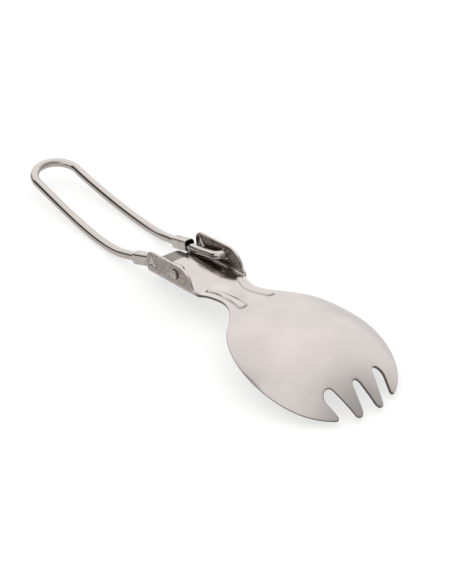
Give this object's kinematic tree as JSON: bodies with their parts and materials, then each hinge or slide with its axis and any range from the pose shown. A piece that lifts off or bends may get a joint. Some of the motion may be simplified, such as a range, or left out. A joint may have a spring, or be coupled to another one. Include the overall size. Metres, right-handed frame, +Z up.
{
  "type": "folding spork",
  "caption": "Folding camping spork: stamped steel bowl with short tines and a hinge channel, and a bent wire loop handle that folds over the bowl's back, with a sliding lock sleeve on each leg.",
  "frame": {"origin": "middle of the part's length and width, on the surface it lies on", "axes": "+X from the handle's loop towards the tines, +Z up, the bowl's convex back up"},
  "size_m": [0.1536, 0.0408, 0.0138],
  "materials": {
    "satin_sheet": "satin, tumbled",
    "polished_wire": "drawn and polished",
    "folded_sleeve": "satin, tumbled"
  },
  "bodies": {
    "head": {"spork_head": "satin_sheet"},
    "handle": {"wire_handle": "polished_wire"},
    "left_sleeve": {"left_lock_sleeve": "folded_sleeve"},
    "right_sleeve": {"right_lock_sleeve": "folded_sleeve"}
  },
  "joints": [
    {"name": "handle_fold", "type": "hinge", "parent": "head", "child": "handle", "pos_m": [0.00502, 0, 0.00977], "axis": [0, 1, 0], "range_deg": [0, 183]},
    {"name": "left_sleeve_slide", "type": "slide", "parent": "handle", "child": "left_sleeve", "axis": [-0.9628, 0.0802, -0.258], "range_m": [0, 0.005]},
    {"name": "right_sleeve_slide", "type": "slide", "parent": "handle", "child": "right_sleeve", "axis": [-0.9628, -0.0802, -0.258], "range_m": [0, 0.005]}
  ]
}
